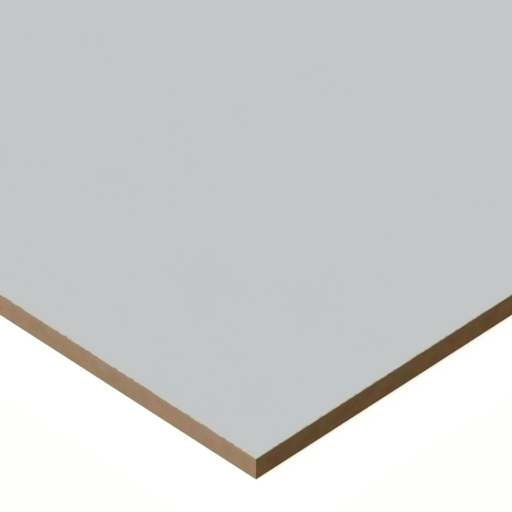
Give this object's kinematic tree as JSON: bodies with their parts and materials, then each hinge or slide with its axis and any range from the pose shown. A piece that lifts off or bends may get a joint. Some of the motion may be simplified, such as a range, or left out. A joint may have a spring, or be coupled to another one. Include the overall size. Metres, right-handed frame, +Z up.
{
  "type": "melamine board",
  "caption": "Full-size flat sheet of melamine-faced MDF: a brown fibre core with sawn bare edges between thin light grey facings, for cutting into panels and shelves.",
  "frame": {"origin": "centre of the sheet's underside", "axes": "+X along the sheet's length, +Y across its width, +Z up out of its upper face"},
  "size_m": [2.44, 1.22, 0.018],
  "materials": {
    "mdf_core": "matte",
    "melamine_facing": "satin"
  },
  "bodies": {
    "root": {"mdf_core": "mdf_core", "top_facing": "melamine_facing", "bottom_facing": "melamine_facing"}
  },
  "joints": []
}
